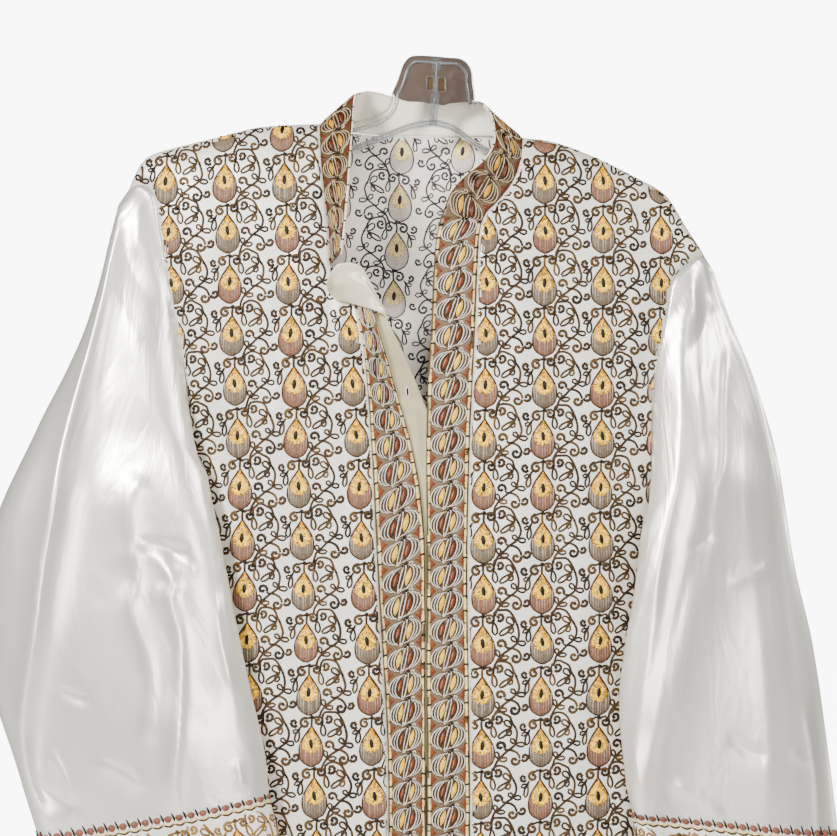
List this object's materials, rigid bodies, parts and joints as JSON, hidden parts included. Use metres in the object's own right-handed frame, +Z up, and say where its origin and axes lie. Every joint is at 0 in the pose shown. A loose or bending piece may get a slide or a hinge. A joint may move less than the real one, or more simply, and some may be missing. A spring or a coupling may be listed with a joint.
{
  "type": "kurta on hanger",
  "caption": "Long open-neck tunic with a stand collar, embroidered body and cuffs and wide plain satin sleeves, hanging flat on a clear moulded hanger.",
  "frame": {"origin": "top edge of the window in the hanger's top plate, where a peg or rod carries it", "axes": "+Z up, front of the garment towards -Y, +X to the right of someone who faces the front"},
  "size_m": [0.7847, 0.1356, 1.0621],
  "materials": {
    "embroidered_satin": "cool white satin with chain-stitch vines and drops",
    "embroidered_border": "dense rust, taupe and gold embroidery",
    "cream_satin": "plain cream satin",
    "white_satin": "plain white satin with a soft sheen",
    "embroidered_cuff": "white satin with gold embroidery",
    "clear_plastic": "clear moulded plastic"
  },
  "bodies": {
    "root": {"back": "embroidered_satin", "front_left": "embroidered_satin", "front_right": "embroidered_satin", "band_left": "embroidered_border", "band_right": "embroidered_border", "collar": "embroidered_border", "collar_lining": "cream_satin", "underlap": "cream_satin", "facing_flap": "cream_satin", "sleeve_left": "white_satin", "sleeve_right": "white_satin", "cuff_left": "embroidered_cuff", "cuff_right": "embroidered_cuff", "hanger": "clear_plastic"}
  },
  "joints": []
}
